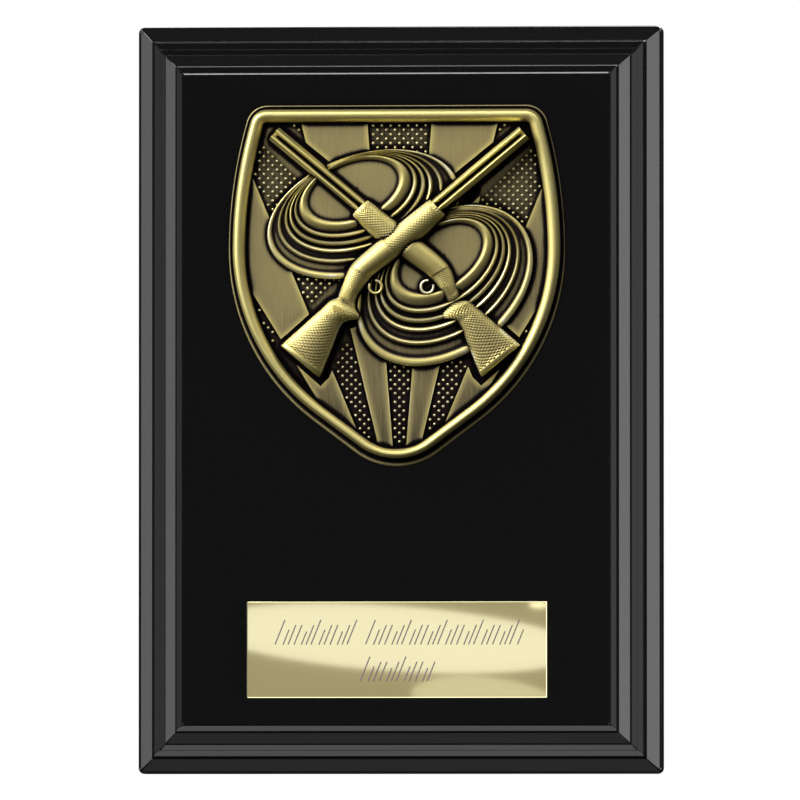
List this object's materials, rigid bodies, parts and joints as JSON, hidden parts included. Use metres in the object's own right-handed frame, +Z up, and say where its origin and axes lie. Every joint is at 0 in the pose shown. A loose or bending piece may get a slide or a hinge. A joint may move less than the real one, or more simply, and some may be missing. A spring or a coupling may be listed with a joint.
{
  "type": "presentation plaque",
  "caption": "Small gloss black presentation plaque for a wall, with a stepped border, an antique gold relief shield of crossed shotguns over clay discs, and a brass engraving plate.",
  "frame": {"origin": "middle of the flat back, where it meets the wall", "axes": "+Z up, +X to the viewer's right, +Y into the wall; the front faces -Y"},
  "size_m": [0.0876, 0.0172, 0.1246],
  "materials": {
    "gloss_black": "gloss",
    "antique_gold": "antiqued, with dark recesses and rubbed bright crests",
    "polished_brass": "polished"
  },
  "bodies": {
    "root": {"plaque_body": "gloss_black", "relief_shield": "antique_gold", "engraving_plate": "polished_brass"}
  },
  "joints": []
}
